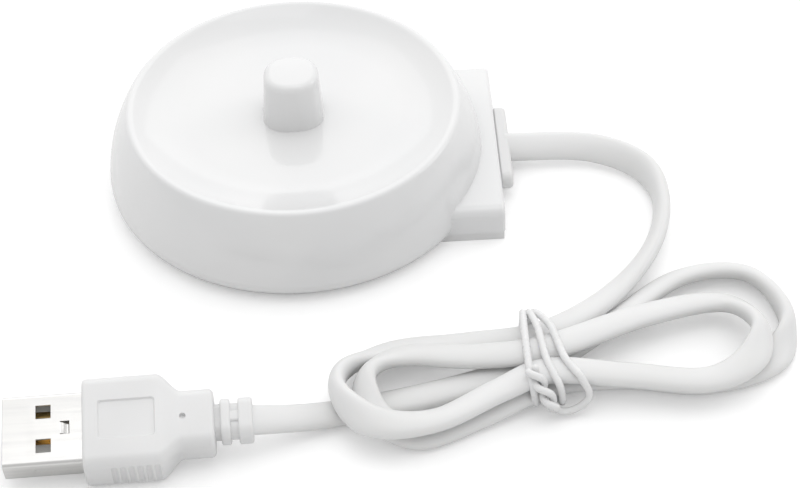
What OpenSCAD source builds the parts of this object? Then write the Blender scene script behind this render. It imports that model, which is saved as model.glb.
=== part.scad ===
// Inductive toothbrush charging base with a flat USB cord.
// Origin: centre of the round base on its underside. +Z is up, +X points to the tail and the cord outlet.

/* [Base] */
// Widest radius of the round body
body_r = 32; // [30:0.5:36]
// Height of the rim above the surface the base stands on
body_h = 16; // [14:0.5:20]
// Radius of the arc that shapes the flared side
side_arc_r = 26; // [24:0.5:30]
// Height of the widest ring
flare_h = 2.2; // [1:0.1:4]
// Radius that turns the side in under the base
foot_r = 3.5; // [2.5:0.1:4]
// Wall thickness of the mouldings
wall = 1.8; // [1.4:0.1:2.2]
// Inner radius of the rim lip
lip_r = 27.1; // [25:0.1:27.4]
// Depth of the dish below the rim
dish_depth = 2.2; // [1.5:0.1:3]
// Radius of the flat middle of the dish
dish_flat_r = 18; // [14:0.5:20]

/* [Post] */
// Width of the charging post at its foot
post_w = 10.4; // [10:0.1:12]
// Width of the post at its top
post_top_w = 9.2; // [9:0.1:10.4]
// Height of the top of the post above the surface
post_top_z = 22.6; // [20:0.1:26]
// Corner radius of the post
post_corner_r = 3.9; // [2:0.1:4.2]
// Rounding of the top edge of the post
post_round_r = 1.3; // [0.8:0.1:1.6]

/* [Tail] */
// Distance from the centre to the end face of the tail
tail_x = 34.3; // [33:0.1:38]
// Width of the tail block
tail_w = 39; // [34:0.5:42]
// Height of the tail's top face
tail_h = 6.4; // [6:0.1:8]
// Rounding of the tail's long top edges
tail_round_r = 2; // [1:0.1:2.5]
// Thickness of the bottom cover
cover_t = 1.5; // [1.2:0.1:2]
// Gap between mouldings at a parting line
gap = 0.15; // [0.1:0.05:0.3]

/* [Grommet] */
// Length of the grommet plate
grommet_l = 19.4; // [16:0.1:22]
// Height of the grommet plate
grommet_h = 3.4; // [3:0.1:3.8]
// How far the plate stands out of the tail
grommet_out = 2.2; // [1.5:0.1:3]
// Height of the cord outlet
outlet_z = 3.4; // [3.3:0.05:3.6]

/* [Cord] */
// Width of the flat cord
cord_w = 5; // [4.6:0.1:5.4]
// Thickness of the flat cord
cord_t = 2.7; // [2.4:0.1:2.8]
// Diameter of the coated twist tie wire
tie_d = 1.2; // [1:0.1:1.4]

/* [Plug] */
// Length of bare metal shell
shell_l = 12.2; // [11.7:0.1:12.6]
// Width of the metal shell
shell_w = 12; // [11.9:0.05:12.1]
// Height of the metal shell
shell_h = 4.5; // [4.4:0.05:4.6]
// Thickness of the shell's sheet steel
shell_t = 0.3; // [0.25:0.05:0.35]
// Width of the plug body
grip_w = 15.6; // [15:0.1:16]
// Thickness of the plug body
grip_t = 8; // [7.4:0.1:8.4]
// Angle that the twisted cord turns the plug about its own axis
plug_roll = 16; // [14:1:18]

/* [Hidden] */
$fn = 64;
tiny = 0.01;

// side profile
side_cx = body_r - side_arc_r;
foot_cx = side_cx + sqrt(side_arc_r * side_arc_r - (foot_r - flare_h) * (foot_r - flare_h)) - foot_r;
cover_disc_r = body_r - wall - 0.5;
floor_z = body_h - dish_depth;
lip_slope_r = lip_r - dish_flat_r;
dish_arc_r = (lip_slope_r * lip_slope_r + dish_depth * dish_depth) / (2 * dish_depth);
ceiling_z = floor_z - wall;

// post and coil
post_bore_r = 3.5;
post_bore_top_z = post_top_z - 1.2;
core_r = 1.6;
coil_r = 3.1;
bobbin_r = 3.3;
bobbin_tube_r = 2.2;
bobbin_top_z = post_bore_top_z - 0.4;
bobbin_foot_r = 5.4;
flange_t = 0.7;
coil_z = ceiling_z - 2.9;
lead_d = 0.4;

// circuit board and its parts
board_r = 22;
board_z = 4.2;
board_t = 1.2;
board_top = board_z + board_t;
bobbin_foot_z = board_top + 1.2;
pillar_r = 1.6;
pillar_pcd_r = 18.5;

// plug
plug_front = [-45.6, -63.5, 5.6];
plug_yaw = 1.4;
body_l = 20.2;
relief_l = 5.4; // length of the slotted strain relief
plug_l = shell_l + body_l + relief_l;
grip_corner_r = 2;
tongue_t = 1.9;
tongue_w = 11;
tongue_z = 0.85;
contact_pitch = 2.3;

// half the tail width and where the tail starts under the round body
tail_y = tail_w / 2;
tail_start_x = 18;

// ---------- shared shapes ----------

// A slot shape: a rectangle with round ends, l long in x and w wide in y
module slot2d(l, w) {
    square([l - w, w], center = true);
    for (s = [-1, 1]) translate([s * (l - w) / 2, 0]) circle(d = w);
}

// A rectangle with round corners
module round_rect(l, w, r) {
    square([l - 2 * r, w], center = true);
    square([l, w - 2 * r], center = true);
    for (sx = [-1, 1], sy = [-1, 1]) translate([sx * (l / 2 - r), sy * (w / 2 - r)]) circle(r = r);
}

// Stands a yz outline up and runs it along +x from x0 to x1
module along_x(x0, x1) {
    translate([x0, 0, 0]) rotate([90, 0, 90]) linear_extrude(x1 - x0) children();
}

// A straight round wire from a to b
module wire(a, b, d) {
    run = b - a;
    translate(a) rotate([0, acos(run[2] / norm(run)), atan2(run[1], run[0])])
        cylinder(h = norm(run), d = d, $fn = 16);
}

// Puts plug parts, drawn along +x from the mouth of the shell, where the plug lies
module at_plug() {
    translate(plug_front) rotate([plug_roll, 0, plug_yaw]) children();
}

// ---------- base ----------

// Half section of the round foot, up to a height
module foot2d(top) {
    square([foot_cx, top]);
    intersection() {
        translate([foot_cx, foot_r]) circle(r = foot_r, $fn = 128);
        square([body_r, top]);
    }
}

// Half section of the round body's outside, without the dish
module body_side2d(shrink, top) {
    intersection() {
        translate([side_cx, flare_h]) circle(r = side_arc_r - shrink, $fn = 128);
        square([body_r, top]);
    }
    square([side_cx + 1, top]);
}

// Half section of the space above the dish
module dish2d() {
    translate([0, floor_z]) square([dish_flat_r, dish_depth + 1]);
    intersection() {
        translate([dish_flat_r, floor_z + dish_arc_r]) circle(r = dish_arc_r, $fn = 256);
        translate([dish_flat_r, floor_z]) square([lip_slope_r, dish_depth + 1]);
    }
}

// The tail's outline seen from its end, top edges rounded
module tail2d(inset, z0) {
    half = tail_y - inset;
    top = tail_h - inset;
    r = max(tail_round_r - inset, 0.4);
    translate([-half, z0]) square([2 * half, top - r - z0]);
    translate([-half + r, z0]) square([2 * (half - r), top - z0]);
    for (s = [-1, 1]) translate([s * (half - r), top - r]) circle(r = r);
}

module post_outside() {
    foot = post_w / 2 - post_corner_r;
    head = post_top_w / 2 - post_corner_r;
    drop = post_top_z - post_round_r;
    hull() for (sx = [-1, 1], sy = [-1, 1]) {
        translate([sx * foot, sy * foot, floor_z - 1]) cylinder(r = post_corner_r, h = 0.2, $fn = 32);
        translate([sx * head, sy * head, drop - 0.2]) cylinder(r = post_corner_r, h = 0.2, $fn = 32);
        translate([sx * head, sy * head, drop + 0.55 * post_round_r])
            cylinder(r = post_corner_r - 0.2 * post_round_r, h = 0.1, $fn = 32);
        translate([sx * head, sy * head, post_top_z - 0.1])
            cylinder(r = post_corner_r - post_round_r, h = 0.1, $fn = 32);
    }
}

module top_shell() {
    color("white") difference() {
        union() {
            difference() {
                union() {
                    rotate_extrude($fn = 128) {
                        foot2d(foot_r);
                        intersection() {
                            body_side2d(0, body_h);
                            translate([0, foot_r]) square([body_r, body_h - foot_r]);
                        }
                    }
                    along_x(tail_start_x, tail_x) tail2d(0, cover_t + gap);
                }
                rotate_extrude($fn = 128) dish2d();
            }
            post_outside();
        }
        // inside of the round body and of the tail
        difference() {
            rotate_extrude($fn = 128) body_side2d(wall, ceiling_z);
            translate([0, 0, ceiling_z - 1.2]) difference() {
                cylinder(r = post_bore_r + 1.2, h = 3);
                translate([0, 0, -1]) cylinder(r = post_bore_r, h = 5);
            }
        }
        along_x(0, tail_x - wall) tail2d(wall, -1);
        cylinder(r = post_bore_r, h = post_bore_top_z);
        // parting line of the round body, and the seat of the cover under the tail
        translate([0, 0, -1]) cylinder(r = body_r + 1, h = 1 + cover_t + gap);
        translate([tail_start_x, -tail_y - gap, -1]) cube([20, tail_w + 2 * gap, 1 + cover_t + gap]);
        // slot for the grommet's neck, open at the bottom
        translate([tail_x - wall - 1, -grommet_l / 2 + 2, -1])
            cube([wall + 2, grommet_l - 4, outlet_z + grommet_h / 2 - 0.6 + 1]);
    }
}

module bottom_cover() {
    color("whitesmoke") {
        rotate_extrude($fn = 128) foot2d(cover_t);
        translate([tail_start_x, -tail_y + 0.2, 0]) cube([tail_x - tail_start_x - 0.2, tail_w - 0.4, cover_t]);
        // upstand that centres the cover in the shell, open towards the tail
        translate([0, 0, cover_t - tiny]) rotate([0, 0, 45]) rotate_extrude(angle = 270)
            translate([cover_disc_r - 3.2, 0]) square([1.4, 2.6]);
        // board pillars with their pegs
        for (a = [45 : 90 : 315]) rotate([0, 0, a]) translate([pillar_pcd_r, 0, 0]) {
            cylinder(r = pillar_r, h = board_z);
            cylinder(r = 0.7, h = board_top + 0.6);
        }
    }
}

module seal_ring() {
    color("dimgray") rotate([0, 0, 45]) rotate_extrude(angle = 270)
        translate([cover_disc_r - 1.1, cover_t + 0.6]) circle(r = 0.6, $fn = 24);
}

// ---------- coil in the post ----------

module ferrite_core() {
    color("darkslategray") translate([0, 0, board_top + 0.3])
        cylinder(r = core_r, h = bobbin_top_z - board_top - 0.6);
}

module coil_bobbin() {
    color("black") difference() {
        union() {
            translate([0, 0, board_top]) cylinder(r = bobbin_foot_r, h = bobbin_foot_z - board_top);
            translate([0, 0, board_top]) cylinder(r = bobbin_tube_r, h = bobbin_top_z - board_top);
            for (z = [coil_z - flange_t, bobbin_top_z - flange_t]) translate([0, 0, z])
                cylinder(r = bobbin_r, h = flange_t);
        }
        translate([0, 0, board_top - 1]) cylinder(r = core_r + 0.05, h = 30);
    }
}

module primary_coil() {
    color("darkorange") translate([0, 0, coil_z]) difference() {
        cylinder(r = coil_r, h = bobbin_top_z - flange_t - coil_z);
        translate([0, 0, -1]) cylinder(r = bobbin_tube_r, h = 20);
    }
}

// The winding's two ends come down past the lower flange to the pins of the foot
module coil_leads() {
    color("orange") for (s = [-1, 1]) rotate([0, 0, 25 * s]) translate([bobbin_r + 0.4, 0, bobbin_foot_z])
        cylinder(h = coil_z - bobbin_foot_z + 1, d = lead_d, $fn = 16);
}

// ---------- circuit board ----------

module circuit_board() {
    color("seagreen") difference() {
        translate([0, 0, board_z]) cylinder(r = board_r, h = board_t);
        for (a = [45 : 90 : 315]) rotate([0, 0, a]) translate([pillar_pcd_r, 0, 0])
            cylinder(r = 0.8, h = 20, $fn = 24);
    }
}

module driver_chip() {
    color("black") translate([-14, -2, board_top + 0.2]) cube([3.9, 4.9, 1.4]);
    color("silver") for (side = [0, 1], i = [0 : 3])
        translate([-14 + side * 3.9 - (1 - side) * 0.9, -1.6 + i * 1.27, board_top]) cube([0.9, 0.4, 0.6]);
}

module film_capacitors() {
    color("firebrick") for (y = [8.5, 12.5]) translate([-6, y, board_top + 0.3]) cube([9, 3, 5.4]);
}

module electrolytic_capacitor() {
    color("darkblue") translate([10.5, 9, board_top]) cylinder(r = 3, h = 5.8);
    color("silver") translate([10.5, 9, board_top + 5.8]) cylinder(r = 2.6, h = 0.15);
}

module choke() {
    color("dimgray") translate([-4, -13, board_top]) {
        cylinder(r = 4, h = 0.8);
        translate([0, 0, 3.6]) cylinder(r = 4, h = 0.8);
        cylinder(r = 2.2, h = 4);
    }
    color("darkorange") translate([-4, -13, board_top + 0.8]) difference() {
        cylinder(r = 3.5, h = 2.8);
        translate([0, 0, -1]) cylinder(r = 2.2, h = 5);
    }
}

module chip_parts() {
    color("black") for (i = [0 : 4]) translate([4 + 2.6 * i, -8.6, board_top]) cube([1.2, 2, 0.5]);
    color("tan") for (i = [0 : 2]) translate([-13 + 2.6 * i, -7.4, board_top]) cube([1.2, 2, 0.9]);
}

// ---------- supply leads and grommet ----------

module supply_lead(side) {
    line = smooth([[tail_x - wall - 1.4, side * 1, outlet_z], [28, side * 1.2, outlet_z + 0.2],
                   [23.5, side * 1.6, board_top + 1.2], [19, side * 2, board_top + 0.8]], 3);
    skin([for (i = [0 : len(line) - 1]) wire_ring(line, i, 1.1, 8)]);
}

module supply_lead_red() { color("red") supply_lead(1); }
module supply_lead_black() { color("black") supply_lead(-1); }

module cord_grommet() {
    color("white") {
        translate([0, 0, outlet_z]) {
            along_x(tail_x, tail_x + grommet_out - 0.4) slot2d(grommet_l, grommet_h);
            along_x(tail_x, tail_x + grommet_out) slot2d(grommet_l - 0.8, grommet_h - 0.8);
            along_x(tail_x - wall - 0.2, tail_x + 1) slot2d(grommet_l - 6, grommet_h - 1.6);
            along_x(tail_x - wall - 1.4, tail_x - wall - 0.1) slot2d(grommet_l - 3, grommet_h - 1.4);
        }
    }
}

// ---------- cord ----------

// Points on the cord's centre line, from the grommet to the plug: [x, y, z, twist of the flat in degrees]
route = [
    [36.5, 0, 3.4, 30], [50, -0.4, 2.8, 35], [58.5, -6, 2.7, 60], [60.8, -15, 2.7, 80],
    [57.6, -26.5, 2.7, 60], [49, -37.6, 2.7, 25], [38, -44.8, 2.8, 5], [26, -45.2, 1.5, 0],
    [14, -46, 1.8, 20], [6.4, -51.4, 3.9, 75], [5.5, -58.4, 5.6, 80], [10.6, -64.8, 6, 25],
    [20, -64, 4.8, -15], [30, -58.6, 4.8, -12], [38, -55.8, 5.6, 0], [50, -56.4, 4.4, -5],
    [62, -58.4, 4.4, -5], [69.2, -55.4, 5.2, 15], [71.9, -48.4, 5.4, 65], [67, -40.6, 3.3, 25],
    [54, -43.6, 4.3, 10], [38, -50.8, 5.6, 0], [27, -50.6, 4.4, 5], [15.8, -49.5, 4.3, 20],
    [9.8, -53.8, 4.9, 60], [10.4, -60.6, 3.8, 10], [17.2, -64.2, 1.6, 0], [27, -60.4, 1.5, 0],
    [38, -55.8, 2.7, 0], [50, -54, 1.6, 0], [62, -56, 1.6, 0], [72.6, -53, 1.5, 0],
    [77, -44.6, 2.7, 85], [72.6, -33.4, 2.3, 45], [61, -33.4, 2.1, 35], [47.5, -43.9, 1.9, 25],
    [37, -51.1, 2.6, 0], [22, -55, 1.5, 0], [4, -58.8, 1.8, 0], [-7.9, -62.6, 5.6, -16]
];
cord_steps = 2;
cord_sides = 8;

// Catmull-Rom point between b and c
function blend(a, b, c, d, t) =
    0.5 * (2 * b + (c - a) * t + (2 * a - 5 * b + 4 * c - d) * t * t + (3 * b - 3 * c + d - a) * t * t * t);
function held(list, i) = list[min(max(i, 0), len(list) - 1)];
function smooth(list, steps) = [
    for (i = [0 : len(list) - 2], s = [0 : steps - 1])
        blend(held(list, i - 1), list[i], list[i + 1], held(list, i + 2), s / steps),
    list[len(list) - 1]
];
function xyz(p) = [p[0], p[1], p[2]];
function unit(v) = v / norm(v);
function heading(line, i) = unit(xyz(held(line, i + 1)) - xyz(held(line, i - 1)));

// One ring of the flat cord: an eight-sided slot shape turned by the twist
function cord_ring(line, i) =
    let (t = heading(line, i), side = unit(cross([0, 0, 1], t)), up = cross(t, side), a = line[i][3],
         wide = side * cos(a) + up * sin(a), thin = up * cos(a) - side * sin(a),
         w = cord_w / 2, h = cord_t / 2)
    [for (k = [[w, 0.4 * h], [w - 0.6 * h, h], [0.6 * h - w, h], [-w, 0.4 * h],
               [-w, -0.4 * h], [0.6 * h - w, -h], [w - 0.6 * h, -h], [w, -0.4 * h]])
        xyz(line[i]) + wide * k[0] + thin * k[1]];

// One ring of a round wire of diameter d
function wire_ring(line, i, d, sides) =
    let (t = heading(line, i), side = unit(cross(t, abs(t[0]) < 0.8 ? [1, 0, 0] : [0, 0, 1])),
         up = cross(t, side))
    [for (k = [0 : sides - 1]) xyz(line[i]) + d / 2 * (side * cos(360 * k / sides) + up * sin(360 * k / sides))];

// Skin through rings of equal size, closed by flat ends
module skin(rings) {
    n = len(rings[0]);
    last = len(rings) - 1;
    sides = [for (i = [0 : last - 1], k = [0 : n - 1])
        [i * n + k, i * n + (k + 1) % n, (i + 1) * n + (k + 1) % n, (i + 1) * n + k]];
    ends = [[for (k = [n - 1 : -1 : 0]) k], [for (k = [0 : n - 1]) last * n + k]];
    polyhedron(points = [for (r = rings) each r], faces = concat(sides, ends), convexity = 10);
}

module cord() {
    line = smooth(route, cord_steps);
    color("white") skin([for (i = [0 : len(line) - 1]) cord_ring(line, i)]);
}

// ---------- twist tie ----------

// Centre of the bundle of five strands, and the half sizes of a turn of wire round it
bundle = [35, -50.7, 4.1];
tie_half_y = 8.9;
tie_half_z = 3.5;
tie_turns = 3;
tie_near_step = 4.5;
tie_far_step = 1.5;
pigtail_start = [36.8, -57.9, 8];
pigtail_end = [38.4, -62.3, 3.6];
pigtail_turns = 1.25;

function bulge(v) = sign(v) * pow(abs(v), 0.6);
// A point on the wire as it winds round the bundle, near side at 180 degrees
function tie_point(a) =
    let (near = (1 - cos(a)) / 2, turn = a / 360)
    [bundle[0] + near * tie_near_step * (turn - 0.4) + (1 - near) * tie_far_step * turn,
     bundle[1] + tie_half_y * bulge(cos(a)), bundle[2] + tie_half_z * bulge(sin(a))];
tie_line = [for (a = [-80 : 20 : 360 * tie_turns - 180]) tie_point(a)];

// A point on one wire of the twisted pair at the end of the tie
function pigtail_point(f, phase) =
    let (t = unit(pigtail_end - pigtail_start), side = unit(cross(t, [0, 0, 1])), up = cross(side, t),
         a = 360 * pigtail_turns * f + phase)
    pigtail_start + f * (pigtail_end - pigtail_start) + (tie_d / 2 + 0.1) * (side * cos(a) + up * sin(a));

module twist_tie() {
    color("white") {
        skin([for (i = [0 : len(tie_line) - 1]) wire_ring(tie_line, i, tie_d, 8)]);
        for (phase = [0, 180]) {
            pair = [for (s = [0 : 14]) pigtail_point(s / 14, phase)];
            skin([for (i = [0 : 14]) wire_ring(pair, i, tie_d, 8)]);
        }
    }
}

// ---------- plug ----------

shell_end = 18.6;
window_x = 5.1;
window_size = 2.3;
window_y = 2.85;
taper_x = shell_l + 11.6;
neck_x = taper_x + 3.2;
neck_end = neck_x + 5;
neck_w = 10;
neck_t = 6.4;
relief_w = 6.8;
relief_t = 5;
web_w = 1.8;
ring_ends = [[neck_end + 0.9, neck_end + 2.4], [neck_end + 3.6, plug_l]];
carrier_x = 12.4;
carrier_end = 17.6;
mould_end = 25;
mould_w = 12.6;
mould_t = 5.4;

module plug_shell() {
    color("silver") at_plug() difference() {
        along_x(0, shell_end) round_rect(shell_w, shell_h, 0.7);
        along_x(-1, shell_end + 1) round_rect(shell_w - 2 * shell_t, shell_h - 2 * shell_t, 0.4);
        for (s = [-1, 1]) translate([window_x, s * window_y - window_size / 2, -5])
            cube([window_size, window_size, 10]);
        // locking detent between the windows, pressed through the top sheet
        translate([8.8, -1.1, 0]) cube([1.4, 2.2, 5]);
    }
}

module plug_tongue() {
    color("ivory") at_plug() difference() {
        translate([0.4, -tongue_w / 2, -shell_h / 2 + shell_t + 0.05]) cube([12, tongue_w, tongue_t]);
        for (y = contact_rows()) translate([0.9, y - 0.55, -shell_h / 2 + shell_t + tongue_t - 0.25])
            cube([12, 1.1, 1]);
    }
}

// Positions of the four contacts across the tongue
function contact_rows() = [-3.5, -1, 1, 3.5];

module plug_contacts() {
    color("gold") at_plug() for (y = contact_rows()) {
        translate([abs(y) > 2 ? 1 : 2, y - 0.5, -shell_h / 2 + shell_t + tongue_t - 0.22])
            cube([abs(y) > 2 ? 11.4 : 10.4, 1, 0.25]);
    }
}

module plug_carrier() {
    color("ivory") at_plug() translate([carrier_x + 0.05, -tongue_w / 2, -shell_h / 2 + shell_t + 0.05])
        cube([carrier_end - carrier_x, tongue_w, shell_h - 2 * shell_t - 0.1]);
}

module plug_solder_leads() {
    color("silver") at_plug() for (y = contact_rows()) translate([carrier_end + 0.05, y - 0.4, -0.6])
        cube([2, 0.8, 0.25]);
    for (s = [-1, 1]) color(s < 0 ? "red" : "black") at_plug()
        wire([carrier_end + 0.8, s * 3.5, 0.3], [mould_end - 1.2, s * 1.2, 0.3], 1);
}

module plug_inner_mould() {
    color("gainsboro") at_plug() difference() {
        along_x(shell_end + 0.1, mould_end) round_rect(mould_w, mould_t, 1);
        translate([shell_end, -4.8, -1.2]) cube([mould_end - shell_end - 0.6, 9.6, 2.4]);
    }
}

module plug_body() {
    color("white") at_plug() difference() {
        union() {
            along_x(shell_l, taper_x) round_rect(grip_w, grip_t, grip_corner_r);
            hull() {
                along_x(taper_x - tiny, taper_x) round_rect(grip_w, grip_t, grip_corner_r, $fn = 32);
                along_x(neck_x, neck_x + tiny) round_rect(neck_w, neck_t, grip_corner_r, $fn = 32);
            }
            along_x(neck_x, neck_end) round_rect(neck_w, neck_t, grip_corner_r);
            along_x(neck_end - 1, plug_l - 0.2) round_rect(cord_w + 0.7, cord_t + 0.9, 1.6);
            for (e = ring_ends) along_x(e[0], e[1]) round_rect(relief_w, relief_t, 1.8);
            // web that joins the two rings above and below
            translate([ring_ends[0][1] - 0.3, -web_w / 2, -relief_t / 2 + 0.3])
                cube([ring_ends[1][0] - ring_ends[0][1] + 0.6, web_w, relief_t - 0.6]);
        }
        // seats of the shell and of the inner mould
        along_x(shell_l - 1, shell_end + 0.1) round_rect(shell_w + 0.06, shell_h + 0.06, 0.7);
        along_x(shell_end, mould_end + 0.05) round_rect(mould_w + 0.06, mould_t + 0.06, 1);
        // shallow square panel and the small moulding gate on the upper face
        translate([shell_l + 2.4, -3.2, grip_t / 2 - 0.3]) cube([8.6, 6.4, 1]);
        translate([neck_x + 0.3, 0, neck_t / 2 - 0.8]) cylinder(d = 1, h = 2, $fn = 24);
        // grip grooves on both narrow sides
        for (s = [-1, 1], i = [0 : 5]) translate([shell_l + 4.6 + 1.3 * i, s * (grip_w / 2 + 0.2), 0])
            cylinder(d = 1.1, h = 6, center = true, $fn = 24);
    }
}

top_shell();
bottom_cover();
seal_ring();
ferrite_core();
coil_bobbin();
primary_coil();
coil_leads();
circuit_board();
driver_chip();
film_capacitors();
electrolytic_capacitor();
choke();
chip_parts();
supply_lead_red();
supply_lead_black();
cord_grommet();
cord();
twist_tie();
plug_shell();
plug_tongue();
plug_contacts();
plug_carrier();
plug_solder_leads();
plug_inner_mould();
plug_body();
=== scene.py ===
"""Charging base for an electric toothbrush: a round dish with a coil post, a flat lead and its plug."""

import logging
import math
from dataclasses import dataclass
from enum import Enum
from typing import Iterable, Sequence

import bmesh
import bpy
from mathutils import Matrix, Vector


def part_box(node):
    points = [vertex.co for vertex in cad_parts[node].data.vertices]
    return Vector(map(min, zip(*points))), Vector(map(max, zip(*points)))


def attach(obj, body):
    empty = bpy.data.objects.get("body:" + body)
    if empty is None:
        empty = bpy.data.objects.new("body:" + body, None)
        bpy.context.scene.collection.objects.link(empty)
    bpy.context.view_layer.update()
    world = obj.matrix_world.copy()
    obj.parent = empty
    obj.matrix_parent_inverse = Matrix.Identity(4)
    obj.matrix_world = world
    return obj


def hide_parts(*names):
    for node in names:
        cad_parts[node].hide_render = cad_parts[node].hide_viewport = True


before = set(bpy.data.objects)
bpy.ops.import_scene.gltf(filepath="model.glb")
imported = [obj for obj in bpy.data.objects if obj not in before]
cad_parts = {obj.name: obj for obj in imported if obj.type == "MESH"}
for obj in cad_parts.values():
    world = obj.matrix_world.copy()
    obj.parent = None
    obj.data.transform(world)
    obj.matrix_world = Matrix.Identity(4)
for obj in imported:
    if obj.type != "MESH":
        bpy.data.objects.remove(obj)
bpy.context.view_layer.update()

LOG = logging.getLogger("charging_base")
MM = 0.001
BODY = "root"
Point2 = tuple[float, float]
Colour = tuple[float, float, float]
Mesh = tuple[list[Vector], list[tuple[int, ...]]]


# ---------------------------------------------------------------- shapes


def rounded_rect(width: float, height: float, radius: float, steps: int = 8) -> list[Point2]:
    """Outline of a rectangle with round corners.

    Args:
        width: full width.
        height: full height.
        radius: corner radius.
        steps: straight pieces in each corner.

    Returns:
        The corner points, anticlockwise, the same number for any size.
    """
    points = []
    for quarter, (sx, sy) in enumerate(((1, 1), (-1, 1), (-1, -1), (1, -1))):
        for k in range(steps + 1):
            angle = math.radians(90 * quarter + 90 * k / steps)
            points.append((sx * (width / 2 - radius) + radius * math.cos(angle),
                           sy * (height / 2 - radius) + radius * math.sin(angle)))
    return points


def quarter_turn(steps: int) -> list[Point2]:
    """Inset and rise of a rounded edge of radius 1, from its start to its end, as (1 - cos, sin)."""
    turns = [math.pi / 2 * k / steps for k in range(steps + 1)]
    return [(1 - math.cos(turn), math.sin(turn)) for turn in turns]


def disc(x: float, y: float, z: float, radius: float, sides: int = 24) -> list[Vector]:
    """A level ring of points round a centre."""
    turns = [2 * math.pi * k / sides for k in range(sides)]
    return [Vector((x + radius * math.cos(turn), y + radius * math.sin(turn), z)) for turn in turns]


def bezier(start: Point2, corner: Point2, end: Point2, steps: int = 8) -> list[Point2]:
    """Points of a smooth turn from start to end that leans towards corner.

    Args:
        start: first point.
        corner: the point that the sharp corner would have.
        end: last point.
        steps: number of straight pieces.

    Returns:
        The points, both ends among them.
    """
    turn = []
    for k in range(steps + 1):
        t = k / steps
        a, b, c = (1 - t) ** 2, 2 * t * (1 - t), t * t
        turn.append((a * start[0] + b * corner[0] + c * end[0], a * start[1] + b * corner[1] + c * end[1]))
    return turn


def loft(rings: Sequence[Sequence[Vector]], closed: bool = True) -> Mesh:
    """Skin through rings that have the same number of points.

    Args:
        rings: the rings in order.
        closed: True closes the first and the last ring with a flat face.

    Returns:
        Points and faces.
    """
    count = len(rings[0])
    points = [Vector(p) for ring in rings for p in ring]
    faces = []
    for start in range(0, (len(rings) - 1) * count, count):
        for k in range(count):
            after = (k + 1) % count
            faces.append((start + k, start + after, start + count + after, start + count + k))
    if closed:
        faces.append(tuple(range(count - 1, -1, -1)))
        last = (len(rings) - 1) * count
        faces.append(tuple(range(last, last + count)))
    return points, faces


def lathe(profile: Sequence[Point2], segments: int) -> Mesh:
    """Turns a half section about the z axis.

    Args:
        profile: closed outline as (radius, height).
        segments: number of steps round the axis.

    Returns:
        Points and faces, with points on the axis repeated until the mesh is cleaned.
    """
    count = len(profile)
    points, faces = [], []
    for s in range(segments):
        turn = 2 * math.pi * s / segments
        points.extend(Vector((r * math.cos(turn), r * math.sin(turn), z)) for r, z in profile)
    for s in range(segments):
        near, far = s * count, (s + 1) % segments * count
        for k in range(count):
            after = (k + 1) % count
            if profile[k][0] or profile[after][0]:
                faces.append((near + k, far + k, far + after, near + after))
    return points, faces


def joined(parts: Iterable[Mesh]) -> Mesh:
    """Several closed shapes as one list of points and faces."""
    points: list[Vector] = []
    faces: list[tuple[int, ...]] = []
    for some_points, some_faces in parts:
        start = len(points)
        points.extend(some_points)
        faces.extend(tuple(start + k for k in face) for face in some_faces)
    return points, faces


def box(low: Sequence[float], high: Sequence[float]) -> Mesh:
    """A plain box between two corners, for cutting and for small parts."""
    outline = [(low[1], low[2]), (high[1], low[2]), (high[1], high[2]), (low[1], high[2])]
    return loft([[Vector((x, y, z)) for y, z in outline] for x in (low[0], high[0])])


def add_object(name: str, data: bpy.types.ID) -> bpy.types.Object:
    """Makes an object and puts it in the scene."""
    obj = bpy.data.objects.new(name, data)
    bpy.context.scene.collection.objects.link(obj)
    return obj


def solid(name: str, shape: Mesh, place: Matrix | None = None) -> bpy.types.Object:
    """Makes an object from points in millimetres.

    Args:
        name: the object's name.
        shape: points and faces, every part closed.
        place: where the shape goes, in millimetres; the object itself stays at the origin.

    Returns:
        The object, with merged points and faces that look outwards.
    """
    mesh = bpy.data.meshes.new(name)
    matrix = place or Matrix.Identity(4)
    mesh.from_pydata([(matrix @ p) * MM for p in shape[0]], [], shape[1])
    work = bmesh.new()
    work.from_mesh(mesh)
    bmesh.ops.remove_doubles(work, verts=work.verts, dist=1e-7)
    bmesh.ops.dissolve_degenerate(work, edges=work.edges, dist=1e-8)
    bmesh.ops.recalc_face_normals(work, faces=work.faces)
    work.to_mesh(mesh)
    work.free()
    return add_object(name, mesh)


def baked(obj: bpy.types.Object) -> bpy.types.Object:
    """Turns an object's modifiers into plain mesh and takes them off."""
    bpy.context.view_layer.update()
    evaluated = obj.evaluated_get(bpy.context.evaluated_depsgraph_get())
    mesh = bpy.data.meshes.new_from_object(evaluated)
    obj.modifiers.clear()
    obj.data = mesh
    mesh.name = obj.name
    return obj


def combine(obj: bpy.types.Object, tool: bpy.types.Object, how: str) -> bpy.types.Object:
    """Joins a tool to an object or cuts it away, and deletes the tool.

    Args:
        obj: the object that stays.
        tool: the closed shape to use.
        how: UNION or DIFFERENCE.

    Returns:
        The same object with its new mesh.
    """
    step = obj.modifiers.new("combine", "BOOLEAN")
    step.operation = how
    step.solver = "EXACT"
    step.object = tool
    baked(obj)
    bpy.data.objects.remove(tool)
    return obj


def smooth(obj: bpy.types.Object, angle: float = 32.0) -> bpy.types.Object:
    """Shades an object smooth, with edges sharper than the angle kept crisp."""
    mesh = obj.data
    mesh.polygons.foreach_set("use_smooth", [True] * len(mesh.polygons))
    mesh.set_sharp_from_angle(angle=math.radians(angle))
    mesh.update()
    return obj


# ---------------------------------------------------------------- finishes


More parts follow.
